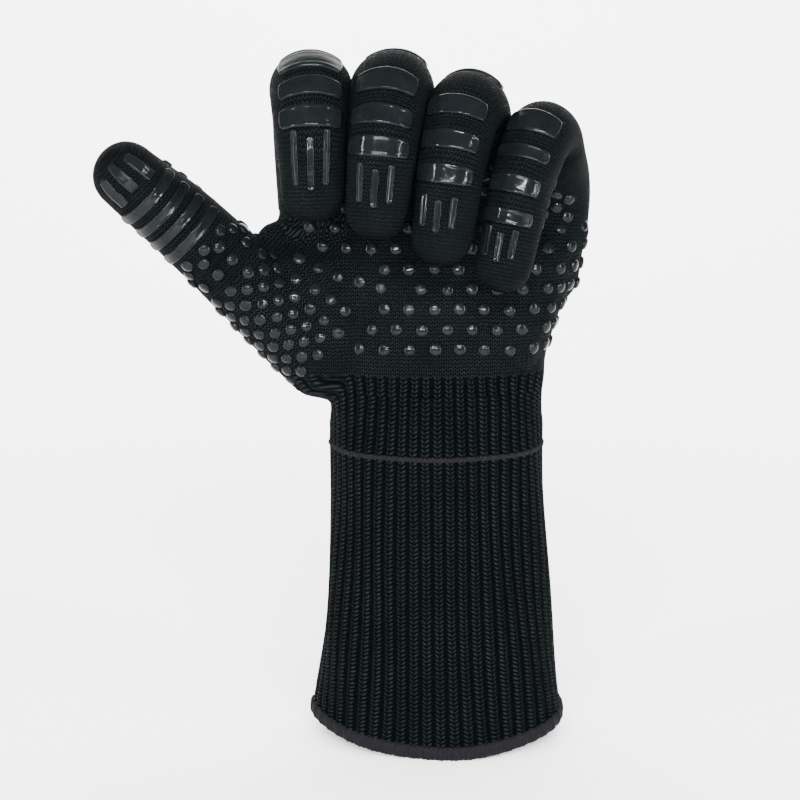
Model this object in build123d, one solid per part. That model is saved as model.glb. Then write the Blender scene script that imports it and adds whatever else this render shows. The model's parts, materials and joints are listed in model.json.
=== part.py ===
from build123d import *

import os
from math import cos, radians, sin, sqrt, tan

# Left-hand heat resistant glove, half curled, standing on its open cuff. Millimetres.
# +Z runs up the forearm, the palm faces -Y and the thumb points to -X.

# Knit layers
shell_wall = 1.6          # outer aramid knit
lining_wall = 1.4         # cotton lining
layer_gap = 0.15          # between the knit and the lining

# Cuff
cuff_length = 128.0
cuff_mouth = (53.0, 38.0)         # half width and half depth at the hem
cuff_top = (44.5, 33.0)
hem_height = 6.0
hem_turn = 2.0                    # overlock below the cuff's cut edge
hem_proud = 0.9
seam_height = 2.4
seam_proud = 0.7

# Hand: height above its base, left edge, right edge and half depth of each section
wrist_length = 24.0               # soft length between the cuff and the hand
hand_sections = [
    (0.0, -45.0, 43.0, 27.0),
    (14.0, -47.0, 44.5, 25.0),
    (30.0, -41.0, 49.0, 22.5),
    (39.0, -42.0, 52.5, 21.0),
    (54.0, -61.5, 58.0, 18.5),
    (62.0, -64.5, 60.0, 17.5),
]
hand_base_z = cuff_length + wrist_length
hand_top_z = hand_base_z + hand_sections[-1][0]

# Digits. root: first joint, measured from the hand's base.
# lengths: to the next joint, and last to the tip's centre.
# radii: at the three joints and at the tip. lean: turn of the straight digit about Y.
# turns: how far the first hinge, and then the other two, turn towards the thumb's base.
# bends: flexion at rest.
# cut: soft length each side of each joint, enough for the joint's tightest bend.
# stub: how far the hand's sleeve for the digit starts before the first joint.
digits = {
    "thumb": dict(root=(-60, -4, 26), lengths=(42.5, 29, 22), radii=(18, 15, 14, 12.6),
                  lean=-46.5, turns=(0, 0), bends=(6, 4, 5), cut=(8, 8, 6), stub=24),
    "index": dict(root=(-52.3, 1, 99.8), lengths=(48, 28, 22), radii=(14.8, 14.1, 12.2, 11),
                  lean=-2, turns=(-2, 1.4), bends=(50, 92, 34), cut=(11.6, 17.2, 4.8), stub=42),
    "middle": dict(root=(-17.6, 1, 98.6), lengths=(50, 32.5, 25.5), radii=(14.8, 14, 12.2, 11),
                   lean=1.5, turns=(5, 2.8), bends=(49, 95, 30), cut=(11.6, 17.6, 4.8), stub=41),
    "ring": dict(root=(16, 1, 91.9), lengths=(48, 33.5, 27.5), radii=(14.4, 13.4, 11.9, 10.9),
                 lean=3, turns=(12.5, 2.8), bends=(49, 96, 27), cut=(11.4, 17.2, 4.8), stub=35),
    "little": dict(root=(47.3, 1, 84.1), lengths=(41, 34, 29), radii=(13.2, 12.2, 11, 10),
                   lean=6, turns=(19, 3.3), bends=(48, 98, 26), cut=(10.6, 15.4, 4.6), stub=30),
}
sections = ("base", "middle", "tip")
joint_words = ("root", "knuckle", "end")

# Silicone grip
grip_height = 1.2
grip_sink = 0.5                   # how far the print bites into the knit
dot_radius = 2.6
dot_pitch = 9.6                   # across a row
dot_row = 7.6                     # between rows
dot_edge = 0.6                    # rounding of a dot
dot_margin = 10.0                 # bare knit beside the first and last dot of a row
dot_first, dot_last = 20.0, 56.0  # lowest and highest row above the hand's base
bar_width = 5.4
bar_pitch = 12.0
bar_reach = 48.0                  # degrees each side of a bar's middle
strip_width = 2.4
strip_reach = 26.0                # degrees between strips


class Digit:
    """Centreline of one digit: its joints, the runs between them and the hinge axis."""

    def __init__(self, root, lengths, radii, lean, turns, bends, cut, stub):
        self.radii, self.bends, self.cut, self.stub = radii, bends, cut, stub
        lean = radians(lean)
        self.joints = [Vector(root[0], root[1], hand_base_z + root[2])]
        self.runs = [Vector(sin(lean), 0, cos(lean))]
        self.axes = []
        axis = Vector(cos(lean), 0, -sin(lean))
        for length, bend, turn in zip(lengths, bends, (*turns, 0)):
            run = self.runs[-1]
            axis = axis.rotate(Axis((0, 0, 0), run), -turn)
            self.axes.append(axis)
            self.runs.append(run.rotate(Axis((0, 0, 0), axis), bend))
            self.joints.append(self.joints[-1] + self.runs[-1] * length)

    def start(self, i):
        return self.joints[i] + self.runs[i + 1] * self.cut[i]

    def end(self, i):
        if i == 2:
            return self.joints[3]
        return self.joints[i + 1] - self.runs[i + 1] * self.cut[i + 1]


def cone(start, end, r_start, r_end, axis):
    """Solid round section between two points."""
    span = end - start
    place = Plane(origin=start, x_dir=axis, z_dir=span.normalized())
    if r_start == r_end:
        return place * Cylinder(r_start, span.length, align=(Align.CENTER, Align.CENTER, Align.MIN))
    return place * Cone(r_start, r_end, span.length, align=(Align.CENTER, Align.CENTER, Align.MIN))


def sleeve(digit, i, inset, wall):
    """Straight hollow section i of a digit, `inset` inside the outer skin; the tip is closed."""
    start, end = digit.start(i), digit.end(i)
    r_start, r_end = digit.radii[i] - inset, digit.radii[i + 1] - inset
    outer = cone(start, end, r_start, r_end, digit.axes[i])
    inner = cone(start, end, r_start - wall, r_end - wall, digit.axes[i])
    if i == 2:
        outer += Pos(end) * Sphere(r_end)
        inner += Pos(end) * Sphere(r_end - wall)
    return outer - inner


def elbow(digit, i, inset, wall):
    """Hollow bend that carries one layer of the digit across joint i."""
    cut, bend, axis, before = digit.cut[i], digit.bends[i], digit.axes[i], digit.runs[i]
    start = digit.joints[i] - before * cut
    centre = start + axis.cross(before) * (cut / tan(radians(bend / 2)))
    radius = digit.radii[i] - inset
    place = Plane(origin=start, x_dir=axis, z_dir=before)
    return revolve(place * (Circle(radius) - Circle(radius - wall)), Axis(centre, axis), bend)


def hand_solid(inset, digit_set):
    """Palm and back with a short sleeve for every digit, `inset` inside the outer skin."""
    faces = []
    for height, left, right, depth in hand_sections:
        top = inset if height == hand_sections[-1][0] else 0
        place = Plane((0.5 * (left + right), 0, hand_base_z + height - top))
        faces.append(place * Ellipse(0.5 * (right - left) - inset, depth - inset))
    body = loft(faces, ruled=True)
    for digit in digit_set.values():
        up = digit.runs[0]
        start = digit.joints[0] - up * (digit.stub - inset)
        end = digit.joints[0] - up * digit.cut[0]
        radius = digit.radii[0] - inset
        body += cone(start, end, radius, radius, digit.axes[0])
    return body


def cuff_ring(low, high, out, wall):
    """Hollow cuff between two heights, its skin moved out by `out`."""
    faces, holes = [], []
    for z in (low, high):
        share = z / cuff_length
        a = cuff_mouth[0] + (cuff_top[0] - cuff_mouth[0]) * share + out
        b = cuff_mouth[1] + (cuff_top[1] - cuff_mouth[1]) * share + out
        faces.append(Plane((0, 0, z)) * Ellipse(a, b))
        holes.append(Plane((0, 0, z)) * Ellipse(a - wall, b - wall))
    return loft(faces, ruled=True) - loft(holes, ruled=True)


def wrist_ring(inset, wall):
    """Soft wrist between the top of the cuff and the base of the hand."""
    height, left, right, depth = hand_sections[0]
    faces, holes = [], []
    for z, x, a, b in ((cuff_length, 0, *cuff_top),
                       (hand_base_z, 0.5 * (left + right), 0.5 * (right - left), depth)):
        faces.append(Plane((x, 0, z)) * Ellipse(a - inset, b - inset))
        holes.append(Plane((x, 0, z)) * Ellipse(a - inset - wall, b - inset - wall))
    return loft(faces, ruled=True) - loft(holes, ruled=True)


def dot():
    """One printed dot on the XY plane, rounded on top."""
    disc = Cylinder(dot_radius, grip_height + grip_sink, align=(Align.CENTER, Align.CENTER, Align.MIN))
    disc = Pos(0, 0, -grip_sink) * disc
    return fillet(disc.edges().sort_by(Axis.Z)[-1], dot_edge)


def hand_skin(height, x, side):
    """Point and outward normal of the hand's skin; side -1 is the palm."""
    for low, high in zip(hand_sections, hand_sections[1:]):
        if low[0] <= height <= high[0]:
            share = (height - low[0]) / (high[0] - low[0])
            left, right, depth = (p + (q - p) * share for p, q in zip(low[1:], high[1:]))
    middle, half = 0.5 * (left + right), 0.5 * (right - left)
    across = (x - middle) / half
    y = side * depth * sqrt(1 - across ** 2)
    normal = Vector(across / half, y / depth ** 2, 0).normalized()
    return Vector(x, y, hand_base_z + height), normal


def dot_rows(side):
    """Staggered rows of dots over the palm or the back of the hand."""
    dots = []
    print_dot = dot()
    count = int((dot_last - dot_first) / dot_row) + 1
    for row in range(count):
        height = dot_first + row * dot_row
        edges = [s for s in hand_sections if s[0] <= height][-1]
        left, right = edges[1] + dot_margin, edges[2] - dot_margin
        x = left + (row % 2) * dot_pitch / 2
        while x < right:
            point, normal = hand_skin(height, x, side)
            dots.append(Plane(origin=point, z_dir=normal) * print_dot)
            x += dot_pitch
    return dots


def skin_plane(digit, i, share, angle):
    """Plane on the skin of section i: X along the digit, Z outward. Angle 0 is the back."""
    start, end = digit.start(i), digit.end(i)
    run = (end - start).normalized()
    radius = digit.radii[i] + (digit.radii[i + 1] - digit.radii[i]) * share
    axis = digit.axes[i]
    out = axis.cross(run) * -cos(radians(angle)) + axis * sin(radians(angle))
    return Plane(origin=start + (end - start) * share + out * radius, x_dir=run, z_dir=out)


def bar(digit, centre, run, radius, side):
    """Cross bar: part of a ring around a point of the centreline."""
    place = Plane(origin=centre, x_dir=digit.axes[1].cross(run) * -side, z_dir=run)
    arc = Circle(radius + grip_height) - Circle(radius - grip_sink)
    far = 2 * radius
    reach = radians(bar_reach)
    wedge = Polyline((0, 0), (far * cos(reach), far * sin(reach)), (far * 1.6, 0),
                     (far * cos(reach), -far * sin(reach)), (0, 0))
    return place * extrude(arc & make_face(wedge), bar_width / 2, both=True)


def back_bars(digit, name):
    """Bars over the back of a bent finger, spaced along the outside of its knuckle."""
    if name == "thumb":
        return []
    cut, bend = digit.cut[1], radians(digit.bends[1])
    before, palmward = digit.runs[1], digit.axes[1].cross(digit.runs[1])
    bend_radius = cut / tan(bend / 2)
    centre = digit.joints[1] - before * cut + palmward * bend_radius
    step = bar_pitch / (bend_radius + digit.radii[1])
    count = 3 if name == "little" else 2
    bars = []
    for k in range(count):
        angle = bend - step * (k + 0.35)
        out = before * sin(angle) - palmward * cos(angle)
        run = before * cos(angle) + palmward * sin(angle)
        bars.append(bar(digit, centre + out * bend_radius, run, digit.radii[1], 1))
    return bars


def section_bars(digit, i, shares, side):
    """Bars at the given shares of a straight section."""
    start, end = digit.start(i), digit.end(i)
    run = (end - start).normalized()
    rims = digit.radii[i], digit.radii[i + 1]
    return [bar(digit, start + (end - start) * s, run, rims[0] + (rims[1] - rims[0]) * s, side)
            for s in shares]


def tip_strips(digit):
    """Three lengthwise strips on the back and three on the front of the tip."""
    length = (digit.end(2) - digit.start(2)).length
    strips = []
    for face in (0, 180):
        for k in (-1, 0, 1):
            place = skin_plane(digit, 2, 0.5, face + k * strip_reach)
            strip = Box(length, strip_width, grip_height + grip_sink)
            strips.append(place * Pos(0, 0, 0.5 * (grip_height - grip_sink)) * strip)
    return strips


def base_dots(digit):
    """Two columns of dots on the front of the section next to the hand."""
    length = (digit.end(0) - digit.start(0)).length
    print_dot = dot()
    rows = max(1, int((length - 2 * dot_radius) / dot_row) + 1)
    dots = []
    for row in range(rows):
        share = (dot_radius + row * dot_row) / length
        for k in (-1, 1) if row % 2 else (-2, 0, 2):
            place = skin_plane(digit, 0, share, 180 + k * 14)
            dots.append(place * print_dot)
    return dots


def save(name, *solids):
    shape = solids[0] if len(solids) == 1 else Compound(children=[Solid(s.solid().wrapped) for s in solids])
    export_step(shape, f"parts/{name}.step")


def save_cuff():
    lining_out = -shell_wall - layer_gap
    save("cuff_shell", cuff_ring(hem_turn, cuff_length, 0, shell_wall))
    save("cuff_lining", cuff_ring(hem_turn, cuff_length, lining_out, lining_wall))
    layers = shell_wall + layer_gap + lining_wall
    band = cuff_ring(0, hem_height, hem_proud, layers + 2 * hem_proud)
    save("cuff_hem", band - cuff_ring(hem_turn, hem_height, 0, layers))
    save("wrist_seam", cuff_ring(cuff_length - seam_height, cuff_length, seam_proud, seam_proud))
    save("wrist_knit", wrist_ring(0, shell_wall))
    save("wrist_lining", wrist_ring(shell_wall + layer_gap, lining_wall))


def save_hand(digit_set):
    shell = hand_solid(0, digit_set) - hand_solid(shell_wall, digit_set)
    inset = shell_wall + layer_gap
    lining = hand_solid(inset, digit_set) - hand_solid(inset + lining_wall, digit_set)
    save("hand_shell", shell)
    save("hand_lining", lining)
    save("palm_dots", *dot_rows(-1))
    save("back_dots", *dot_rows(1))


def save_digit(name, digit):
    inset = shell_wall + layer_gap
    lining = Part()
    for i, (section, word) in enumerate(zip(sections, joint_words)):
        save(f"{name}_{word}_knit", elbow(digit, i, 0, shell_wall))
        save(f"{name}_{section}_shell", sleeve(digit, i, 0, shell_wall))
        lining += elbow(digit, i, inset, lining_wall) + sleeve(digit, i, inset, lining_wall)
    save(f"{name}_lining", lining)
    save(f"{name}_dots", *base_dots(digit))
    if name == "thumb":
        save(f"{name}_bars", *section_bars(digit, 1, (0.28, 0.7), -1))
    else:
        save(f"{name}_bars", *back_bars(digit, name))
    save(f"{name}_strips", *tip_strips(digit))


if __name__ == "__main__":
    os.makedirs("parts", exist_ok=True)
    digit_set = {name: Digit(**sizes) for name, sizes in digits.items()}
    save_cuff()
    save_hand(digit_set)
    for name, digit in digit_set.items():
        save_digit(name, digit)
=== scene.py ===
import json
import math
import bpy
import bmesh
import numpy as np
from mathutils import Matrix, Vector
from mathutils.bvhtree import BVHTree
from mathutils.noise import noise


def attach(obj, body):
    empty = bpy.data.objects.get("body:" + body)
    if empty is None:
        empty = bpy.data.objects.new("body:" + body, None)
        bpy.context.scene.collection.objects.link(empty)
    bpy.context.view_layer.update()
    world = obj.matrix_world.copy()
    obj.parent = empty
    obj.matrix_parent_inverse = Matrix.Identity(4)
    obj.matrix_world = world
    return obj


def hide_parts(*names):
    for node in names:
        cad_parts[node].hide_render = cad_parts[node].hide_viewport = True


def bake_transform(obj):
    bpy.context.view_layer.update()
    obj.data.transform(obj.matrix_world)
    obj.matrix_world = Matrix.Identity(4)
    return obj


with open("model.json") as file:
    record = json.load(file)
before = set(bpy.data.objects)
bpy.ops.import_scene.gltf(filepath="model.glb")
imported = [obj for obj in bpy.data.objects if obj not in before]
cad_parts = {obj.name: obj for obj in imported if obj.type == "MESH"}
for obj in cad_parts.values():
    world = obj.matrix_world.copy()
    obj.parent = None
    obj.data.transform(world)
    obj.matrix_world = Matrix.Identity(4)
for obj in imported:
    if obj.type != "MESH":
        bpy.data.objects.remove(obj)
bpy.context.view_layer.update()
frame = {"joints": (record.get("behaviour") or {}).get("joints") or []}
joints = {j["name"]: j for j in frame["joints"]}
mm = 0.001


def toLinear(hexColour):
    # sRGB hex to the linear values that the shaders use
    parts = [int(hexColour[i:i + 2], 16) / 255 for i in (1, 3, 5)]
    return [c / 12.92 if c <= 0.04045 else ((c + 0.055) / 1.055) ** 2.4 for c in parts] + [1.0]


def addNode(tree, kind, links=None, **settings):
    # one node with its settings, and sockets fed by values or by other sockets
    node = tree.nodes.new(kind)
    for key, value in settings.items():
        setattr(node, key, value)
    for socket, value in (links or {}).items():
        if isinstance(value, bpy.types.NodeSocket):
            tree.links.new(value, node.inputs[socket])
        else:
            node.inputs[socket].default_value = value
    return node


def newMaterial(name):
    material = bpy.data.materials.new(name)
    material.use_nodes = True
    tree = material.node_tree
    return material, tree, tree.nodes["Principled BSDF"]


def unit(v):
    return v / np.linalg.norm(v, axis=-1, keepdims=True)


def turned(v, axis, angle):
    # v turned about a unit axis, right-handed
    c = math.cos(angle)
    return v * c + np.cross(axis, v) * math.sin(angle) + axis * np.dot(axis, v) * (1 - c)


def smoothStep(low, high, x):
    t = np.clip((x - low) / (high - low), 0, 1)
    return t * t * (3 - 2 * t)


def meshPiece(name, points, faces, material, knit=None):
    # a smooth shaded object; knit holds one stitch coordinate in mm for each face corner
    mesh = bpy.data.meshes.new(name)
    mesh.from_pydata((np.asarray(points) * mm).tolist(), [], faces)
    if knit is not None:
        layer = mesh.uv_layers.new(name="knit")
        layer.data.foreach_set("uv", np.asarray(knit, dtype=np.float32).ravel())
    mesh.polygons.foreach_set("use_smooth", [True] * len(mesh.polygons))
    mesh.materials.append(material)
    piece = bpy.data.objects.new(name, mesh)
    bpy.context.scene.collection.objects.link(piece)
    return piece


def ringGrid(rows, cols, flip=False):
    # quads of a grid of rows that close on themselves, as (row, column) index arrays
    r, c = np.meshgrid(np.arange(rows - 1), np.arange(cols), indexing="ij")
    r, c = r.ravel(), c.ravel()
    quads = np.stack([r * cols + c, r * cols + (c + 1) % cols,
                      (r + 1) * cols + (c + 1) % cols, (r + 1) * cols + c], axis=1)
    corners = np.stack([np.stack([r, c], 1), np.stack([r, c + 1], 1),
                        np.stack([r + 1, c + 1], 1), np.stack([r + 1, c], 1)], axis=1)
    if flip:
        quads, corners = quads[:, ::-1], corners[:, ::-1]
    return quads, corners


def tubePiece(name, rings, us, vs, material, flip=False, closeEnd=False):
    # rings: rows x columns x 3 points; us: stitch coordinates of columns + 1; vs: of rows
    rows, cols = rings.shape[:2]
    quads, corners = ringGrid(rows, cols, flip)
    us, vs = np.asarray(us), np.asarray(vs)
    knit = np.stack([us[corners[..., 1]], vs[corners[..., 0]]], axis=-1).reshape(-1, 2)
    points = rings.reshape(-1, 3)
    faces = quads.tolist()
    if closeEnd:
        last = (rows - 1) * cols
        points = np.vstack([points, rings[-1].mean(axis=0)])
        for c in range(cols):
            tri = [last + c, last + (c + 1) % cols, len(points) - 1]
            faces.append(tri[::-1] if flip else tri)
        top = vs[-1]
        cap = np.array([[[us[c], top], [us[c + 1], top], [us[c], top + 0.3]] for c in range(cols)])
        knit = np.vstack([knit, (cap[:, ::-1] if flip else cap).reshape(-1, 2)])
    return meshPiece(name, points, faces, material, knit)


# gap is painted shade: the near-black colour laid between the stitches, where the bump casts no shadow of its
# own
knitColours = dict(yarn="#15191b", gap="#010202", fuzz="#39424a")
jersey = dict(wale=1.8, course=1.5, depth=0.9, wales=54)   # plain knit, mm; wales round one digit
ribbing = dict(wale=5.4, course=1.8, depth=1.3)     # 1x1 rib of the cuff: one raised column and its valley


def aramidKnit(name, gauge, colours=knitColours, valley=0.0):
    # aramid yarn, knitted and left unbrushed: matt, near black, each V stitch catches a little light; the
    # colour carries painted shade, darkest in the gaps between stitches
    material, tree, shader = newMaterial(name)
    knit = addNode(tree, "ShaderNodeUVMap", uv_map="knit").outputs["UV"]
    wobble = addNode(tree, "ShaderNodeTexNoise", {"Vector": knit, "Scale": 0.35, "Detail": 2.0})
    shift = addNode(tree, "ShaderNodeVectorMath", {0: wobble.outputs["Color"], 1: (0.5, 0.5, 0.5)},
                    operation="SUBTRACT")
    loose = addNode(tree, "ShaderNodeVectorMath", {0: shift.outputs["Vector"], 1: (0.9, 0.9, 0), 2: knit},
                    operation="MULTIPLY_ADD")
    split = addNode(tree, "ShaderNodeSeparateXYZ", {0: loose.outputs["Vector"]})

    def calc(operation, a, b=0.0, c=0.0):
        return addNode(tree, "ShaderNodeMath", {0: a, 1: b, 2: c}, operation=operation).outputs[0]

    across = calc("FRACT", calc("DIVIDE", split.outputs["X"], gauge["wale"]))
    side = calc("MULTIPLY", calc("ABSOLUTE", calc("SUBTRACT", across, 0.5)), 2.0)
    course = calc("DIVIDE", split.outputs["Y"], gauge["course"])
    phase = calc("FRACT", calc("MULTIPLY_ADD", side, -0.75, course))
    loop = calc("POWER", calc("SINE", calc("MULTIPLY", phase, math.pi)), 0.7)
    leg = calc("POWER", calc("SINE", calc("MULTIPLY", side, math.pi)), 0.6)
    height = calc("MULTIPLY", loop, calc("MULTIPLY_ADD", leg, 0.7, 0.3))
    strands = addNode(tree, "ShaderNodeTexNoise", {"Vector": knit, "Scale": 5.0, "Detail": 3.0})
    # valley lowers the stitch height in the sunk rib column: this flattens the bump there and, through the
    # colour, paints shade into the valley
    edge = addNode(tree, "ShaderNodeMapRange",
                   {"Value": side, "From Min": 0.5, "From Max": 0.8, "To Min": 1.0, "To Max": 1.0 - valley},
                   interpolation_type="SMOOTHSTEP")
    height = calc("MULTIPLY", height, edge.outputs["Result"])
    relief = calc("MULTIPLY_ADD", strands.outputs["Fac"], 0.35, height)
    bump = addNode(tree, "ShaderNodeBump",
                   {"Height": relief, "Strength": 1.0, "Distance": gauge["depth"] * mm})
    uneven = addNode(tree, "ShaderNodeTexNoise", {"Vector": knit, "Scale": 0.05, "Detail": 3.0})
    patchy = calc("MULTIPLY_ADD", uneven.outputs["Fac"], 0.7, 0.35)
    # painted shade: the colour runs to the near-black gap colour where the stitch height is low, times random
    # patches of real tone
    stitchShadeAndPatches = calc("MULTIPLY", patchy, calc("POWER", height, 2.4))
    colour = addNode(tree, "ShaderNodeMix", {"Factor": stitchShadeAndPatches, "A": toLinear(colours["gap"]),
                                             "B": toLinear(colours["yarn"])}, data_type="RGBA")
    tree.links.new(colour.outputs["Result"], shader.inputs["Base Color"])
    tree.links.new(bump.outputs["Normal"], shader.inputs["Normal"])
    shader.inputs["Roughness"].default_value = 0.62
    shader.inputs["IOR"].default_value = 1.5
    shader.inputs["Specular IOR Level"].default_value = 0.01
    shader.inputs["Sheen Weight"].default_value = 0.002
    shader.inputs["Sheen Roughness"].default_value = 0.45
    shader.inputs["Sheen Tint"].default_value = toLinear(colours["fuzz"])
    return material


def printedSilicone():
    # silicone screen-printed thick and cured: wet-looking, black, faintly uneven from the knit below
    material, tree, shader = newMaterial("printedSilicone")
    place = addNode(tree, "ShaderNodeTexCoord").outputs["Object"]
    lumps = addNode(tree, "ShaderNodeTexNoise", {"Vector": place, "Scale": 420.0, "Detail": 2.0})
    bump = addNode(tree, "ShaderNodeBump",
                   {"Height": lumps.outputs["Fac"], "Strength": 0.5, "Distance": 0.22 * mm})
    smears = addNode(tree, "ShaderNodeTexNoise", {"Vector": place, "Scale": 160.0, "Detail": 3.0})
    dull = addNode(tree, "ShaderNodeMapRange",
                   {"Value": smears.outputs["Fac"], "To Min": 0.05, "To Max": 0.15})
    colour = addNode(tree, "ShaderNodeMix", {"Factor": smears.outputs["Fac"], "A": toLinear("#040506"),
                                             "B": toLinear("#0b0e0f")}, data_type="RGBA")
    tree.links.new(colour.outputs["Result"], shader.inputs["Base Color"])
    tree.links.new(dull.outputs["Result"], shader.inputs["Roughness"])
    tree.links.new(bump.outputs["Normal"], shader.inputs["Normal"])
    shader.inputs["IOR"].default_value = 1.43
    shader.inputs["Specular IOR Level"].default_value = 0.09
    return material


def overlockThread():
    # spun polyester thread laid by an overlocker: matt, a shade more purple than the knit
    material, tree, shader = newMaterial("overlockThread")
    place = addNode(tree, "ShaderNodeTexCoord").outputs["Object"]
    fibres = addNode(tree, "ShaderNodeTexNoise", {"Vector": place, "Scale": 2600.0, "Detail": 3.0})
    colour = addNode(tree, "ShaderNodeMix", {"Factor": fibres.outputs["Fac"], "A": toLinear("#020203"),
                                             "B": toLinear("#0b0a0e")}, data_type="RGBA")
    bump = addNode(tree, "ShaderNodeBump",
                   {"Height": fibres.outputs["Fac"], "Strength": 0.6, "Distance": 0.15 * mm})
    tree.links.new(colour.outputs["Result"], shader.inputs["Base Color"])
    tree.links.new(bump.outputs["Normal"], shader.inputs["Normal"])
    shader.inputs["Roughness"].default_value = 0.8
    shader.inputs["Specular IOR Level"].default_value = 0.06
    shader.inputs["Sheen Weight"].default_value = 0.008
    return material


# the rib's valley gets painted shade in its colour as well as a lower bump
ribKnit = aramidKnit("aramidRibKnit", ribbing, valley=0.7)
plainKnit = aramidKnit("aramidJerseyKnit", jersey)
# the lining's gap colour is painted shade between its stitches
liningKnit = aramidKnit("cottonLiningKnit", dict(wale=1.5, course=1.3, depth=0.25),
                        dict(yarn="#3a3c40", gap="#131416", fuzz="#8a8d92"))
silicone = printedSilicone()
thread = overlockThread()
print("materials ready")


digitSizes = {      # mm; radii of the outer skin at the three joints and at the tip
    "thumb": dict(radii=(18.8, 16.2, 15.2, 13.6), cuts=(8, 8, 8), tip=22, bends=(6, 4, 5)),
    "index": dict(radii=(16.2, 16.4, 13.9, 12.2), cuts=(11.6, 17.2, 8), tip=22, bends=(50, 92, 34)),
    "middle": dict(radii=(16.2, 16.2, 13.9, 12.2), cuts=(11.6, 17.6, 9), tip=25.5, bends=(49, 95, 30)),
    "ring": dict(radii=(15.8, 15.4, 13.4, 11.9), cuts=(11.4, 17.2, 9), tip=27.5, bends=(49, 96, 27)),
    "little": dict(radii=(14.8, 13.9, 12.4, 11.0), cuts=(10.6, 15.4, 9), tip=29, bends=(48, 98, 26)),
}
fingerNames = ("index", "middle", "ring", "little")


class Digit:
    def __init__(self, name, radii, cuts, tip, bends):
        self.name = name
        mine = [joints[f"{name}_{w}"] for w in ("root", "knuckle", "end")]
        where = [np.array(j["pos_m"]) / mm for j in mine]
        axes = [unit(np.array(j["axis"], dtype=float)) for j in mine]
        angles = [math.radians(b) for b in bends]
        runs = [None, unit(where[1] - where[0]), unit(where[2] - where[1])]
        runs[0] = turned(runs[1], axes[0], -angles[0])
        runs.append(turned(runs[2], axes[2], angles[2]))
        tipCentre = where[2] + runs[3] * tip
        self.joints, self.runs, self.axes, self.tipRadius = where, runs, axes, radii[3]
        step = 0.25
        points, ways, hinge = [], [], []
        self.marks = {}

        def straight(a, b, way, fromAxis, toAxis):
            count = max(2, int(np.linalg.norm(b - a) / step))
            for k in range(count):
                t = k / count
                points.append(a + (b - a) * t)
                ways.append(way)
                hinge.append(unit(fromAxis * (1 - t) + toAxis * t))

        def arc(i):
            bendRadius = cuts[i] / math.tan(angles[i] / 2)
            start = where[i] - runs[i] * cuts[i]
            centre = start + np.cross(axes[i], runs[i]) * bendRadius
            count = max(4, int(bendRadius * angles[i] / step))
            self.marks[i] = [len(points), 0]
            for k in range(count):
                t = angles[i] * k / count
                points.append(centre + turned(start - centre, axes[i], t))
                ways.append(turned(runs[i], axes[i], t))
                hinge.append(axes[i])
            self.marks[i][1] = len(points)

        lead = where[0] - runs[0] * (cuts[0] + 14)
        straight(lead, where[0] - runs[0] * cuts[0], runs[0], axes[0], axes[0])
        arc(0)
        straight(where[0] + runs[1] * cuts[0], where[1] - runs[1] * cuts[1], runs[1], axes[0], axes[1])
        arc(1)
        straight(where[1] + runs[2] * cuts[1], where[2] - runs[2] * cuts[2], runs[2], axes[1], axes[1])
        arc(2)
        straight(where[2] + runs[3] * cuts[2], tipCentre, runs[3], axes[2], axes[2])
        body = len(points)
        straight(tipCentre, tipCentre + runs[3] * radii[3] * 1.02, runs[3], axes[2], axes[2])
        self.points, self.ways, self.hinge = map(np.array, (points, ways, hinge))
        gaps = np.linalg.norm(np.diff(self.points, axis=0), axis=1)
        self.along = np.concatenate([[0], np.cumsum(gaps)])
        self.length = self.along[-1]
        keys = [self.along[sum(self.marks[i]) // 2] for i in range(3)] + [self.along[body - 1]]
        wide = np.interp(self.along, keys, radii)
        kernel = np.hanning(41)
        wide = np.convolve(np.pad(wide, 20, mode="edge"), kernel / kernel.sum(), mode="valid")
        past = np.clip((self.along - self.along[body - 1]) / (self.length - self.along[body - 1]), 0, 1)
        self.wide = wide * np.maximum(1 - past ** 2.15, 0.0004) ** (1 / 2.15)
        self.bendShare = smoothStep(0, 8, self.along - self.along[self.marks[1][0]] + 4) \
            * (1 - smoothStep(-8, 4, self.along - self.along[self.marks[1][1]]))
        self.seed = sum(map(ord, name)) * 0.37

    def at(self, s):
        s = np.clip(s, 0, self.length)
        pick = lambda data: np.stack([np.interp(s, self.along, data[:, k]) for k in range(3)], axis=-1)
        return pick(self.points), unit(pick(self.ways)), unit(pick(self.hinge))

    def skin(self, s, angle, lift=0.0):
        # point of the skin; angle 0 is the back of the digit, pi its palm side
        s, angle = np.broadcast_arrays(np.asarray(s, dtype=float), np.asarray(angle, dtype=float))
        centre, way, hinge = self.at(s)
        hinge = unit(hinge - way * np.sum(hinge * way, axis=-1, keepdims=True))
        back = -np.cross(hinge, way)
        out = back * np.cos(angle)[..., None] + hinge * np.sin(angle)[..., None]
        radius = np.interp(s, self.along, self.wide)
        palm = np.clip(-np.cos(angle), 0, 1)
        folded = np.interp(s, self.along, self.bendShare)
        radius = radius * (1 - 0.22 * folded * palm ** 1.4)          # the palm side closes up in the bend
        radius = radius + 0.25 * np.sin(angle * 3 + s * 0.11 + self.seed) * np.clip(radius / 12, 0, 1)
        creases = 0.35 * np.sin(s * 1.15 + self.seed) * palm * (0.25 + folded)
        return centre + out * (radius + creases * np.clip(radius / 12, 0, 1) + lift)[..., None]


digitSet = {name: Digit(name, **sizes) for name, sizes in digitSizes.items()}
print("digit centrelines ready")


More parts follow.
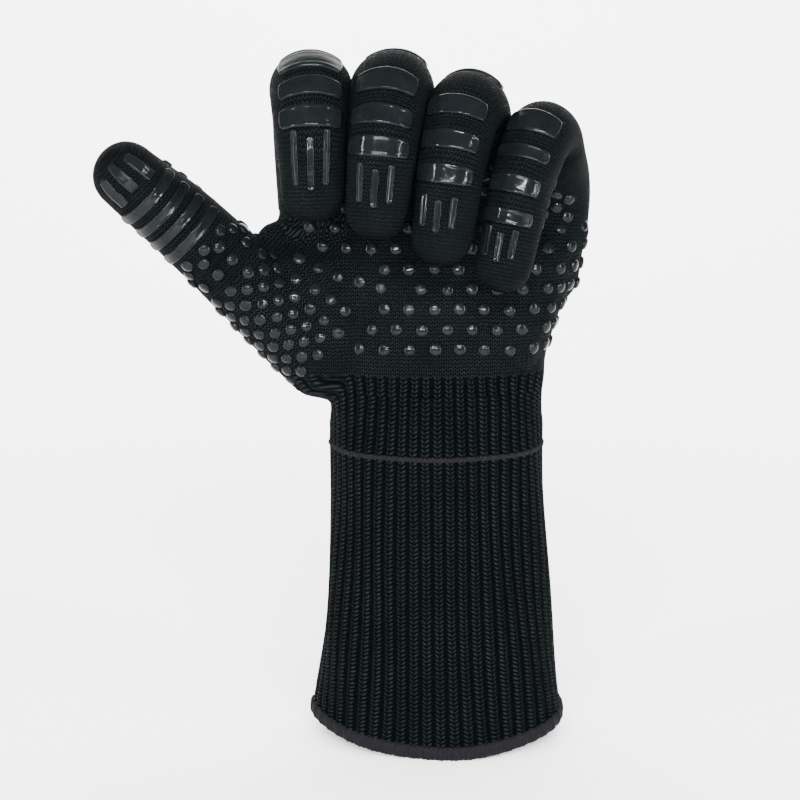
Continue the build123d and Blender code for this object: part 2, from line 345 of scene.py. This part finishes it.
def sleevePiece(digit, name, start, end, closeEnd=False):
    # one knit sleeve of a digit between two places along it, stitch columns running lengthwise
    wales = jersey["wales"]
    cols = wales * 3
    rows = max(8, int((end - start) / 0.55))
    s = np.linspace(start, end, rows + 1)
    if closeEnd:
        cap = digit.tipRadius
        s = np.concatenate([np.linspace(start, end - cap, int((end - start - cap) / 0.55)),
                            end - cap + cap * np.sin(np.linspace(0, math.pi / 2, 30))[1:]])
    angle = np.linspace(0, 2 * math.pi, cols, endpoint=False)
    rings = digit.skin(s[:, None], angle[None, :])
    us = np.linspace(0, wales * jersey["wale"], cols + 1)
    return tubePiece(name, rings, us, s, plainKnit, closeEnd=closeEnd)


def acrossJoint(piece, digit, i):
    # works out where joint i's soft length starts and ends, kept short enough that both sleeve ends stay with
    # their sections, but uses neither end; it only bakes the piece's transform
    first, last = digit.marks[i]
    a, b = digit.points[first], digit.points[last]
    chord = unit(b - a)
    tilt = math.acos(min(1.0, float(digit.ways[first] @ chord)))

    def trim(mark, place):
        free = abs(digit.along[mark] - place)
        return max(0.0, digit.wide[mark] * math.sin(tilt) - free * math.cos(tilt) + 0.4)

    ends = [0.0, *digit.half, digit.length]
    a = a + chord * trim(first, ends[i])
    b = b - chord * trim(last, ends[i + 1])
    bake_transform(piece)


def makeSleeves(name, digit):
    half = [0.5 * (digit.along[digit.marks[i][1]] + digit.along[digit.marks[i + 1][0]]) for i in (0, 1)]
    digit.half = half
    if name != "thumb":
        root = sleevePiece(digit, f"{name}RootKnit", 0, half[0])
        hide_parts(f"{name}_root_knit", f"{name}_base_shell")
        acrossJoint(root, digit, 0)
    begin = half[0] - (8 if name == "thumb" else 0)          # the thumb's starts inside the hand's knit
    knuckle = sleevePiece(digit, f"{name}KnuckleKnit", begin, half[1])
    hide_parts(f"{name}_knuckle_knit", f"{name}_middle_shell", f"{name}_lining")
    acrossJoint(knuckle, digit, 1)
    end = sleevePiece(digit, f"{name}EndKnit", half[1], digit.length, closeEnd=True)
    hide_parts(f"{name}_end_knit", f"{name}_tip_shell")
    acrossJoint(end, digit, 2)


for name, digit in digitSet.items():
    makeSleeves(name, digit)
print("digit sleeves ready")


printing = dict(height=0.95, rim=0.28, sink=0.35, edge=0.8)     # mm


def patchMesh(digit, s0, s1, middle, halfArc, rows, cols):
    # closed, rounded-corner print that follows the digit's skin; halfArc in mm
    a, b = np.meshgrid(np.linspace(-1, 1, rows), np.linspace(-1, 1, cols), indexing="ij")
    halfLength = 0.5 * (s1 - s0)
    x = a * np.sqrt(1 - 0.16 * b ** 2)
    y = b * np.sqrt(1 - 0.16 * a ** 2)
    inside = np.minimum((1 - np.abs(a)) * halfLength, (1 - np.abs(b)) * halfArc)
    rise = np.sqrt(np.clip(1 - (1 - np.clip(inside / printing["edge"], 0, 1)) ** 2, 0, 1))
    lift = -printing["sink"] + (printing["height"] + printing["sink"]) * rise \
        + printing["rim"] * np.exp(-((inside - 0.75) / 0.4) ** 2)
    lift = np.where(inside <= 1e-6, -printing["sink"], lift)
    s = 0.5 * (s0 + s1) + x * halfLength
    radius = np.interp(0.5 * (s0 + s1), digit.along, digit.wide)
    angle = middle + y * halfArc / radius
    top = digit.skin(s, angle, lift).reshape(-1, 3)
    under = digit.skin(s, angle, np.full_like(lift, -printing["sink"])).reshape(-1, 3)
    border = (np.abs(a) == 1) | (np.abs(b) == 1)
    index = np.arange(rows * cols).reshape(rows, cols)
    lower = np.where(border, index, -1)
    inner = np.argwhere(~border)
    for k, (i, j) in enumerate(inner):
        lower[i, j] = rows * cols + k
    points = np.vstack([top, under.reshape(rows, cols, 3)[~border]])
    faces = []
    for i in range(rows - 1):
        for j in range(cols - 1):
            faces.append([index[i, j], index[i, j + 1], index[i + 1, j + 1], index[i + 1, j]])
            faces.append([lower[i, j], lower[i + 1, j], lower[i + 1, j + 1], lower[i, j + 1]])
    return points, faces


def joined(name, meshes, material):
    points, faces, base = [], [], 0
    for p, f in meshes:
        points.append(p)
        faces += [[base + k for k in face] for face in f]
        base += len(p)
    return meshPiece(name, np.vstack(points), faces, material)


bars = dict(width=6.4, halfArc=13.5, places=dict(      # mm from the finger's end
    index=(36, 44.6, 53.2, 66), middle=(33.8, 42.8, 54.4, 73), ring=(33.8, 44, 56, 75),
    little=(29.3, 39.8, 50.9, 62)))
strips = dict(start=dict(index=12, middle=12, ring=12, little=11), halfWidth=1.7, spread=0.46,
              length=dict(index=19, middle=15.5, ring=13, little=12.5))
thumbBars = dict(width=5.4, halfArc=18, places=(24, 32, 40, 48))
thumbStrips = dict(start=3.0, length=14, halfWidth=2.6, spread=0.58)


def makePrints(name, digit):
    total = digit.length
    groups = {1: [], 2: []}
    for facing in (0, math.pi):
        if name == "thumb":
            places, width, arc = thumbBars["places"], thumbBars["width"], thumbBars["halfArc"]
            lines, begin, length = thumbStrips, thumbStrips["start"], thumbStrips["length"]
        else:
            places = bars["places"][name]
            width, arc = bars["width"], bars["halfArc"] * digitSizes[name]["radii"][1] / 16.2
            lines, begin, length = strips, strips["start"][name], strips["length"][name]
        for place in places:
            s = total - place
            folded = float(np.interp(s, digit.along, digit.bendShare))
            if facing and folded > 0.05:
                continue                          # nothing is printed inside the fold
            group = 1 if s - width / 2 < digit.half[1] else 2
            groups[group].append(patchMesh(digit, s - width / 2, s + width / 2, facing, arc, 17, 49))
        for k in (-1, 0, 1):
            s1 = total - begin - (2.0 if k else 0)
            groups[2].append(patchMesh(digit, s1 - length, s1, facing + k * lines["spread"],
                                       lines["halfWidth"], 57, 11))
    upper = joined(f"{name}Bars", groups[1], silicone)
    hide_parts(f"{name}_bars")
    acrossJoint(upper, digit, 1)
    lower = joined(f"{name}TipPrint", groups[2], silicone)
    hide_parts(f"{name}_strips")
    acrossJoint(lower, digit, 2)


for name, digit in digitSet.items():
    makePrints(name, digit)
print("bars and strips ready")


cuff = dict(bottom=(53.6, 38.6), top=(44.4, 33.2), length=128.0, flare=1.9, ribs=50, relief=0.8,
            rise=8.5, riseTo=75, middle=-1.8)
wrist = dict(low=cuff["length"], high=152.0, overlap=4.0)
handSections = [     # mm: height, left, right, front depth, back depth
    (134, -45.6, 42.2, 31.8, 31.8), (146, -46, 42.2, 28.8, 28.8), (152, -46.5, 42.6, 27.5, 27.3),
    (165, -50.5, 44.4, 26.5, 24.8), (180, -55, 48.2, 24.5, 23), (195, -60, 53.3, 22, 21),
    (208, -65, 58.6, 19.5, 19.5), (219, -67.5, 62.2, 17.5, 18.5), (228, -66.5, 60.5, 15, 16.5),
    (235, -58, 47, 9, 10),
]


def evenEllipse(a, b, count, power=2.0):
    # points evenly spaced along an oval, from the middle of the back, round by +X
    t = np.linspace(0, 2 * math.pi, 1441)
    c, s = np.cos(t), np.sin(t)
    x = a * np.sign(s) * np.abs(s) ** (2 / power)
    y = b * np.sign(c) * np.abs(c) ** (2 / power)
    run = np.concatenate([[0], np.cumsum(np.hypot(np.diff(x), np.diff(y)))])
    where = np.linspace(0, run[-1], count, endpoint=False)
    return np.interp(where, run, x), np.interp(where, run, y)


def ribHeight(share):
    # raised knit column and sunk purl column of one rib; share runs 0 to 1
    return np.tanh(2.2 * np.cos(2 * math.pi * share)) / 2


def cuffRing(z, cols):
    # half width and half depth of the sleeve at a height, then its ring
    if z <= cuff["length"]:
        flare = (1 - z / cuff["length"]) ** cuff["flare"]
        a = cuff["top"][0] + (cuff["bottom"][0] - cuff["top"][0]) * flare
        b = cuff["top"][1] + (cuff["bottom"][1] - cuff["top"][1]) * flare
        middle = cuff["middle"] * z / cuff["length"]
    else:
        share = (z - cuff["length"]) / (wrist["high"] - cuff["length"])
        a = cuff["top"][0]
        b = cuff["top"][1] + (27.3 - cuff["top"][1]) * share
        middle = cuff["middle"]
    x, y = evenEllipse(a, b, cols, 2.15)
    return np.stack([x + middle, y, np.full(cols, z)], axis=-1)


def ribbedTube(name, low, high, inset=0.0, relief=1.0, material=ribKnit, flip=False, ringAt=cuffRing):
    colsPerRib = 12
    cols = cuff["ribs"] * colsPerRib
    rows = int((high - low) / 0.9)
    share = np.arange(cols) / cols
    rings = []
    for z in np.linspace(low, high, rows + 1):
        ring = ringAt(z, cols)
        out = unit(ring - np.array([cuff["middle"], 0, z]))
        wave = 0.7 * np.sin(share * 2 * math.pi * 3 + z * 0.035) \
            + 0.5 * np.sin(share * 2 * math.pi * 7 - z * 0.06)
        ribs = cuff["relief"] * relief * ribHeight(share * cuff["ribs"])
        ring = ring + out * (ribs + wave - inset)[:, None]
        fade = np.clip(1 - z / cuff["riseTo"], 0, 1) ** 1.5
        lift = cuff["rise"] * (ring[:, 0] / cuff["bottom"][0]) ** 2 * fade
        ring[:, 2] += lift
        rings.append(ring)
    rings = np.array(rings)
    us = np.linspace(0, cuff["ribs"] * ribbing["wale"], cols + 1) + ribbing["wale"] / 2
    vs = np.linspace(low, high, rows + 1)
    return tubePiece(name, rings, us, vs, material, flip=flip), rings


cuffPiece, cuffRings = ribbedTube("cuffRibKnit", 0.8, cuff["length"])
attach(cuffPiece, "cuff")
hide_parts("cuff_shell")
liningPiece, _ = ribbedTube("cuffLining", 1.6, cuff["length"] + 6, inset=2.6, relief=0.3,
                            material=liningKnit, flip=True)
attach(liningPiece, "cuff")
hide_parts("cuff_lining")
print("cuff ready")


def wrappedEdge(name, ring, outward, height, thickness, pitch, node):
    # overlocked band: a flattened roll round a ring, with slanting thread wraps raised on it
    cols = len(ring)
    sides = 22
    meanRadius = 45
    loops = round(2 * math.pi * meanRadius / pitch)
    around = np.linspace(0, 2 * math.pi, sides, endpoint=False)
    rows = []
    for k in range(sides):
        c, s = math.cos(around[k]), math.sin(around[k])
        share = np.arange(cols) / cols
        wrap = np.abs(np.cos(math.pi * (share * loops + 0.35 * around[k]))) ** 0.8
        puff = 0.38 * wrap
        x = (thickness / 2) * np.sign(c) * abs(c) ** 0.8 + puff * c
        z = (height / 2) * np.sign(s) * abs(s) ** 0.8 + puff * s
        rows.append(ring + outward * x[:, None] + np.array([0, 0, 1]) * z[:, None])
    rows.append(rows[0])
    rings = np.array(rows)
    us = np.linspace(0, 280, cols + 1)
    piece = tubePiece(name, rings, us, np.linspace(0, 12, sides + 1), thread, flip=True)
    mesh = bmesh.new()
    mesh.from_mesh(piece.data)
    bmesh.ops.remove_doubles(mesh, verts=mesh.verts, dist=1e-7)
    mesh.to_mesh(piece.data)
    mesh.free()
    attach(piece, "cuff")
    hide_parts(node)
    return piece


def resampled(ring, count):
    closed = np.vstack([ring, ring[:1]])
    run = np.concatenate([[0], np.cumsum(np.linalg.norm(np.diff(closed, axis=0), axis=1))])
    where = np.linspace(0, run[-1], count, endpoint=False)
    smooth = np.stack([np.interp(where, run, closed[:, k]) for k in range(3)], axis=-1)
    for _ in range(30):
        smooth = 0.5 * smooth + 0.25 * (np.roll(smooth, 1, axis=0) + np.roll(smooth, -1, axis=0))
    return smooth


hem = dict(height=5.4, thickness=2.8, pitch=1.9)
hemRing = resampled(cuffRings[0], 1500)
hemOut = unit(hemRing * [1, 1, 0])
hemRing = hemRing + np.array([0, 0, hem["height"] / 2 - 0.6]) - hemOut * 0.9
hemRing[:, 2] -= hemRing[:, 2].min() - hem["height"] / 2 - 0.4
wrappedEdge("hemOverlock", hemRing, hemOut, hem["height"], hem["thickness"], hem["pitch"], "cuff_hem")
seamRing = resampled(cuffRings[-1], 1500)
seamOut = unit(seamRing * [1, 1, 0])
wrappedEdge("wristSeam", seamRing - seamOut * 0.2 - np.array([0, 0, 0.9]), seamOut,
            1.5, 1.1, 1.9, "wrist_seam")
print("hem and seam ready")


hand = dict(voxel=1.3, smoothing=10, stub=14.5, overlap=0.45, slope=5.0)


def ballPoints(centre, radius):
    ball = bmesh.new()
    bmesh.ops.create_icosphere(ball, subdivisions=3, radius=radius)
    points = np.array([v.co for v in ball.verts]) + np.array(centre)
    ball.free()
    return points


def ringPoints(digit, s, extra):
    return digit.skin(np.full(48, float(s)), np.linspace(0, 2 * math.pi, 48, endpoint=False), extra)


def hullMesh(*pointSets):
    # closed skin stretched round several balls and rings
    hull = bmesh.new()
    for p in np.vstack(pointSets):
        hull.verts.new(p)
    result = bmesh.ops.convex_hull(hull, input=hull.verts)
    loose = [g for g in result["geom_interior"] + result["geom_unused"] if isinstance(g, bmesh.types.BMVert)]
    bmesh.ops.delete(hull, geom=list(set(loose)), context="VERTS")
    hull.verts.index_update()
    points = np.array([v.co for v in hull.verts])
    faces = [[v.index for v in f.verts] for f in hull.faces]
    hull.free()
    return points, faces


def palmBlock():
    rings = []
    cols = 180
    for height, left, right, front, back in handSections:
        x, y = evenEllipse(0.5 * (right - left), 1.0, cols, 2.25)
        y = np.where(y < 0, y * front, y * back)
        x = x + 0.5 * (left + right)
        z = height - hand["slope"] * np.clip((x + 20) / 80, 0, 1) * float(smoothStep(200, 235, height))
        rings.append(np.stack([x, y, z], axis=-1))
    points = np.array(rings).reshape(-1, 3)
    quads, _ = ringGrid(len(rings), cols)
    faces = quads.tolist()
    faces.append(list(range(cols))[::-1])
    faces.append([len(points) - cols + c for c in range(cols)])
    return points, faces


thumb = digitSet["thumb"]
thumbCut = thumb.half[0]
stubEnds = {name: 9.0 for name in fingerNames}          # where the hand's knit hands over, mm along the digit
lumps = [palmBlock()]
for name in fingerNames:
    digit = digitSet[name]
    deep = digit.joints[0] - digit.runs[0] * (44 if name != "little" else 36)
    lumps.append(hullMesh(ballPoints(deep, hand["stub"]), ringPoints(digit, stubEnds[name], hand["overlap"])))
thumbRings = [ringPoints(thumb, s, hand["overlap"]) for s in np.linspace(0, thumbCut, 5)]
thumbLow = ballPoints((-41.0, -1.0, 161.0), 16.0)        # corner of the heel, where the cuff's ribs fan out
thumbHeel = ballPoints((-44.0, -3.0, 184.0), 20.0)
webTop = ballPoints((-68.0, -2.0, 212.3), 8.5)           # skin between thumb and index
for first, second in zip(thumbRings, thumbRings[1:]):
    lumps.append(hullMesh(first, second))
lumps.append(hullMesh(thumbLow, thumbRings[0], thumbHeel))
lumps.append(hullMesh(thumbLow, thumbRings[1], thumbHeel))
webFoot = [ballPoints(thumb.at(np.array(float(s)))[0], 13.0) for s in (30, 44)]
lumps.append(hullMesh(webTop, webFoot[0], webFoot[1], thumbHeel))
lumps.append(hullMesh(ballPoints((24.0, -7.0, 172.0), 18.5), ballPoints((38.0, -3.0, 204.0), 18.0)))
rough = joined("handKnit", lumps, plainKnit)
remesh = rough.modifiers.new("remesh", "REMESH")
remesh.mode = "VOXEL"
remesh.voxel_size = hand["voxel"] * mm
soften = rough.modifiers.new("soften", "SMOOTH")
soften.iterations = hand["smoothing"]
soften.factor = 0.5
finer = rough.modifiers.new("finer", "SUBSURF")
finer.levels = 1
baked = bpy.data.meshes.new_from_object(rough.evaluated_get(bpy.context.evaluated_depsgraph_get()))
bpy.data.objects.remove(rough)
print("hand remeshed", len(baked.polygons))


def treeOf(mesh):
    return BVHTree.FromPolygons([v.co.copy() for v in mesh.vertices], [p.vertices[:] for p in mesh.polygons])


def wristRing(z, cols):
    # the cuff's oval, which takes on the hand's own outline as it flares
    ring = cuffRing(z, cols)
    share = float(smoothStep(135, 142, z))
    if share > 0:
        centre = np.array([cuff["middle"], 0, z])
        out = unit(ring - centre)
        far = 95.0
        for k in range(cols):
            hit = uncutTree.ray_cast(Vector((centre + out[k] * far) * mm), Vector(-out[k]))[0]
            if hit is not None:
                ring[k] = ring[k] * (1 - share) + np.array(hit) / mm * share
    return ring


uncutTree = treeOf(baked)
wristPiece, _ = ribbedTube("wristRibKnit", wrist["low"] - 0.4, wrist["high"], ringAt=wristRing)
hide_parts("wrist_knit", "wrist_lining")
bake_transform(wristPiece)
print("wrist ready")

handMesh = bmesh.new()
handMesh.from_mesh(baked)
bmesh.ops.bisect_plane(handMesh, geom=handMesh.faces[:] + handMesh.edges[:] + handMesh.verts[:],
                       plane_co=(0, 0, (wrist["high"] - 0.6) * mm), plane_no=(0, 0, -1), clear_outer=True)
handMesh.to_mesh(baked)
handMesh.free()


def ribShare(p):
    # which part of the cuff's round a point of the hand continues, 0 to 1
    ring = cuffRing(wrist["high"], 720)
    turn = np.arctan2(ring[:, 0] - cuff["middle"], ring[:, 1]) % (2 * math.pi)
    turn[0] = 0.0
    t = np.arctan2(p[:, 0] - cuff["middle"], p[:, 1]) % (2 * math.pi)
    return np.interp(t, np.append(turn, 2 * math.pi), np.linspace(0, 1, 721))


def handStitches(mesh):
    # stitch coordinates of the hand in mm: round the palm and up it, or round and along a digit
    count = len(mesh.vertices)
    points = np.zeros(count * 3)
    mesh.vertices.foreach_get("co", points)
    points = points.reshape(-1, 3) / mm
    loops = np.zeros(len(mesh.loops), dtype=int)
    mesh.loops.foreach_get("vertex_index", loops)
    starts = np.array([p.loop_start for p in mesh.polygons])
    totals = np.array([p.loop_total for p in mesh.polygons])
    face = np.repeat(np.arange(len(starts)), totals)
    corner = points[loops]
    centre = np.add.reduceat(corner, starts, axis=0) / totals[:, None]

    def along(p, digit, origin, way):
        rel = p - origin
        far = rel @ way
        hinge = digit.axes[0]
        back = -np.cross(hinge, way)
        t = np.arctan2(rel @ hinge, rel @ back) % (2 * math.pi)
        return t / (2 * math.pi) * jersey["wales"] * jersey["wale"], far

    whole = cuff["ribs"] * ribbing["wale"]
    u, v = ribShare(corner) * whole + ribbing["wale"] / 2, corner[:, 2].copy()
    period = np.full(len(loops), whole)
    facing = np.zeros(len(starts) * 3)
    mesh.polygons.foreach_get("normal", facing)
    facing = facing.reshape(-1, 3)
    above = centre[:, 2] > 160
    flat = (above & (np.abs(facing[:, 1]) > 0.6))[face]
    sides = (above & (np.abs(facing[:, 1]) <= 0.6))[face]
    u[flat] = corner[flat, 0]
    u[sides] = corner[sides, 1]
    period[flat | sides] = 1e6

    def thumbWrap(p, middle):
        # round the outer side of the thumb, then flat over the heel towards the palm
        rel = p - thumb.joints[0]
        far, across, deep = rel @ thumb.runs[1], rel @ thumb.axes[0], rel[:, 1]
        radius = 16.0
        heel = np.clip(0.95 * (42 - far), 0, 60)
        outer = radius * np.arctan2(deep, np.maximum(-across, 1e-6))
        beyond = np.maximum(across - heel, 0)
        inner = np.minimum(across, heel) + radius * np.arctan2(beyond, np.abs(deep) + 1e-6)
        inner = np.where(middle[:, 1] < thumb.joints[0][1], -1, 1) * (radius * math.pi / 2 + inner)
        return np.where(across <= 0, outer, inner), far

    mine = ((centre - thumb.joints[0]) @ np.array([-0.8, 0, 0.3]) > -6) & above & (centre[:, 0] < -38)
    pick = mine[face]
    u[pick], v[pick] = thumbWrap(corner[pick], centre[face][pick])
    for name in fingerNames:
        digit = digitSet[name]
        origin, way = digit.points[0], digit.runs[0]
        rel = centre - origin
        off = rel - (rel @ way)[:, None] * way
        mine = (rel @ way > -2) & (np.linalg.norm(off, axis=1) < digit.wide[0] + 1.5)
        pick = mine[face]
        u[pick], v[pick] = along(corner[pick], digit, origin, way)
        period[pick] = jersey["wales"] * jersey["wale"]
    low = np.minimum.reduceat(u, starts)[face]
    high = np.maximum.reduceat(u, starts)[face]
    u = np.where((high - low > period / 2) & (u - low < period / 2), u + period, u)
    layer = mesh.uv_layers.new(name="knit")
    layer.data.foreach_set("uv", np.stack([u, v], axis=-1).astype(np.float32).ravel())


def fadeRibs(mesh):
    # the cuff's ribs run out over the first part of the hand, and the knit above lies softly uneven
    count = len(mesh.vertices)
    points = np.zeros(count * 3)
    mesh.vertices.foreach_get("co", points)
    points = points.reshape(-1, 3)
    normals = np.zeros(count * 3)
    mesh.vertex_normals.foreach_get("vector", normals)
    p = points / mm
    ribs = cuff["relief"] * ribHeight(ribShare(p) * cuff["ribs"]) * (1 - smoothStep(155, 163, p[:, 2]))
    soft = np.array([noise(Vector(q * 0.045)) for q in p]) * 0.8 * smoothStep(152, 165, p[:, 2])
    points = points + normals.reshape(-1, 3) * ((ribs + soft) * mm)[:, None]
    mesh.vertices.foreach_set("co", points.ravel())


fadeRibs(baked)
handStitches(baked)
baked.name = "handKnit"
baked.polygons.foreach_set("use_smooth", [True] * len(baked.polygons))
baked.update()
handPiece = bpy.data.objects.new("handKnit", baked)
bpy.context.scene.collection.objects.link(handPiece)
baked.materials.clear()
baked.materials.append(plainKnit)
baked.materials.append(ribKnit)
for polygon in baked.polygons:
    polygon.material_index = int(polygon.center.z < 0.160)
handTree = treeOf(baked)
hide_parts("hand_shell", "hand_lining", "thumb_root_knit", "thumb_base_shell")
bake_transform(handPiece)
print("hand ready")


dots = dict(radius=2.65, height=1.25, sink=0.4, pitch=10.2, row=8.1, low=171.2, rows=8, turn=17,
            gap=6.8, reach=60)       # mm; turn in degrees; reach is how far outside the hand a ray starts


def domeMesh(centre, normal, radius):
    # one cured dot: steep round side, flatter crown, closed underneath
    rings, sides = 7, 20
    normal = unit(np.array(normal))
    across = unit(np.cross(normal, [0.3, 0.2, 0.93]))
    other = np.cross(normal, across)
    around = np.linspace(0, 2 * math.pi, sides, endpoint=False)
    spokes = np.cos(around)[:, None] * across + np.sin(around)[:, None] * other
    points = [centre + spokes * radius - normal * dots["sink"]]
    for k in range(rings):
        t = math.pi / 2 * k / rings
        out, up = radius * math.cos(t) ** 0.8, dots["height"] * math.sin(t) ** 0.9
        points.append(centre + spokes * out + normal * up)
    points = np.vstack(points + [[centre + normal * dots["height"]]])
    quads, _ = ringGrid(rings + 1, sides)
    faces = quads.tolist()
    last = rings * sides
    faces += [[last + c, last + (c + 1) % sides, len(points) - 1] for c in range(sides)]
    faces.append(list(range(sides))[::-1])
    return points, faces


def onHand(origin, way):
    hit, normal, _, _ = handTree.ray_cast(Vector(origin) * mm, Vector(way))
    if hit is None:
        return None
    return np.array(hit) / mm, np.array(normal)


rng = np.random.default_rng(7)
palmSpots, backSpots, thumbSpots, upperSpots = [], [], [], []


def keepSpot(hit, spots, gap):
    point, normal = hit
    taken = palmSpots + backSpots + thumbSpots + upperSpots
    if all(np.linalg.norm(point - q) > gap for q, _ in taken):
        spots.append((point, normal))


thumbLattice = dict(first=8.0, along=4.1, across=5.4, last=4.0, gap=6.4)     # staggered along the thumb
lastBar = thumb.length - max(thumbBars["places"]) - thumbBars["width"] / 2 - thumbLattice["last"]
for side in (math.pi, 0):
    for row in range(int((lastBar - thumbLattice["first"]) / thumbLattice["along"]) + 1):
        s = lastBar - row * thumbLattice["along"]
        radius = float(np.interp(s, thumb.along, thumb.wide))
        for col in range(-4, 5):
            if (row + col) % 2 or abs(col * thumbLattice["across"]) > radius * 1.35:
                continue
            angle = side + col * thumbLattice["across"] / radius
            foot, above = thumb.skin(s, angle), thumb.skin(s, angle, 25.0)
            if s > thumbCut + 1:
                keepSpot((foot, unit(above - foot)), upperSpots, thumbLattice["gap"])
            else:
                hit = onHand(above, unit(foot - above))
                if hit:
                    face = palmSpots if side else backSpots
                    keepSpot(hit, thumbSpots if hit[0][0] < -64 else face, thumbLattice["gap"])
for row in range(dots["rows"]):
    z = dots["low"] + row * dots["row"]
    for side in (-1, 1):
        for col in range(-8, 9):
            x = -3 + (col + (row % 2) * 0.5) * dots["pitch"] + rng.uniform(-0.4, 0.4)
            hit = onHand((x, side * dots["reach"], z + rng.uniform(-0.3, 0.3)), (0, -side, 0))
            if hit and abs(hit[1][1]) > 0.45 and hit[0][0] > -62:
                keepSpot(hit, palmSpots if side < 0 else backSpots, dots["gap"])
    # round the edge of the little finger's side
    for turn in range(-4, 5):
        angle = math.radians((turn + (row % 2) * 0.5) * dots["turn"])
        way = np.array([-math.cos(angle), -math.sin(angle), 0])
        middle = np.array([float(np.interp(z, [150, 230], [30, 47])), 0, z])
        hit = onHand(middle - way * dots["reach"], way)
        if hit and hit[1][0] > 0.25:
            keepSpot(hit, palmSpots if hit[0][1] < 0 else backSpots, dots["gap"])


def dotPiece(name, spots, node, body=None):
    domes = [domeMesh(p, n, dots["radius"] * rng.uniform(0.94, 1.05)) for p, n in spots]
    piece = joined(name, domes, silicone)
    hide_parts(node)
    if body:
        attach(piece, body)
    return piece


dotPiece("palmDots", palmSpots, "palm_dots", "hand")
dotPiece("backDots", backSpots, "back_dots", "hand")
thumbDots = dotPiece("thumbDots", thumbSpots, "thumb_dots")
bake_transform(thumbDots)
upperDots = dotPiece("thumbUpperDots", upperSpots, "thumb_dots")
acrossJoint(upperDots, thumb, 1)
for name in fingerNames:
    digit = digitSet[name]
    spots = []
    for row in range(5):
        s = 13 + row * 6.8
        if s > digit.half[0] - 2:
            continue
        for k in ((-1, 1) if row % 2 else (-2, 0, 2)):
            angle = math.pi + k * 0.34
            here, beside = digit.skin(s, angle), digit.skin(s, angle, 1.0)
            spots.append((here, beside - here))
    piece = dotPiece(f"{name}Dots", spots, f"{name}_dots")
    acrossJoint(piece, digit, 0)
print("dots ready", len(palmSpots), len(backSpots), len(thumbSpots))


studio = dict(aim=(-0.017, 0, 0.1455), distance=0.9, elevation=11.0, lens=96.4)


def paleFloor():
    # matt painted sweep under the glove
    material, _, shader = newMaterial("paleFloorPaint")
    shader.inputs["Base Color"].default_value = toLinear("#f4f4f3")
    shader.inputs["Roughness"].default_value = 0.7
    rows = []
    for y, z in [(-3.0, 0.0), (1.2, 0.0)] + [(1.2 + 0.8 * math.sin(t), 0.8 - 0.8 * math.cos(t))
                                             for t in np.linspace(0.1, math.pi / 2, 12)] + [(2.0, 4.0)]:
        rows.append([(-4000.0, y * 1000, z * 1000), (4000.0, y * 1000, z * 1000)])
    points = np.array(rows).reshape(-1, 3)
    faces = [[2 * k, 2 * k + 1, 2 * k + 3, 2 * k + 2] for k in range(len(rows) - 1)]
    meshPiece("paleFloor", points, faces, material)


def softLight(name, place, size, power, aim=(-0.02, 0, 0.16), mirrored=True):
    light = bpy.data.lights.new(name, "AREA")
    light.shape = "RECTANGLE"
    light.size, light.size_y = size
    light.energy = power
    lamp = bpy.data.objects.new(name, light)
    lamp.location = place
    lamp.visible_glossy = mirrored
    lamp.rotation_euler = (Vector(aim) - Vector(place)).to_track_quat("-Z", "Y").to_euler()
    bpy.context.scene.collection.objects.link(lamp)


paleFloor()
softLight("upperStrip", (0.0, -1.3, 0.86), (1.0, 0.011), 70)
softLight("lowerStrip", (0.0, -1.35, 0.4), (1.0, 0.011), 60)
softLight("leftStrip", (-1.1, -0.75, 0.4), (0.024, 0.8), 24)
softLight("rightStrip", (1.1, -0.75, 0.4), (0.024, 0.8), 24)
softLight("highFront", (0.0, -1.5, 1.9), (1.6, 0.5), 16, mirrored=False)
softLight("backdropWash", (0.0, 0.5, 1.6), (2.4, 0.4), 210, aim=(0.0, 2.0, 0.6), mirrored=False)
world = bpy.data.worlds.new("studioWorld")
world.use_nodes = True
world.node_tree.nodes["Background"].inputs["Color"].default_value = toLinear("#fbfbfc")
world.node_tree.nodes["Background"].inputs["Strength"].default_value = 0.38
bpy.context.scene.world = world

lift = math.radians(studio["elevation"])
camera = bpy.data.objects.new("camera", bpy.data.cameras.new("camera"))
camera.data.lens = studio["lens"]
camera.data.sensor_width = 36
aim = Vector(studio["aim"])
camera.location = aim + Vector((0, -math.cos(lift), math.sin(lift))) * studio["distance"]
camera.rotation_euler = (aim - camera.location).to_track_quat("-Z", "Y").to_euler()
bpy.context.scene.collection.objects.link(camera)
bpy.context.scene.camera = camera
print("studio ready")
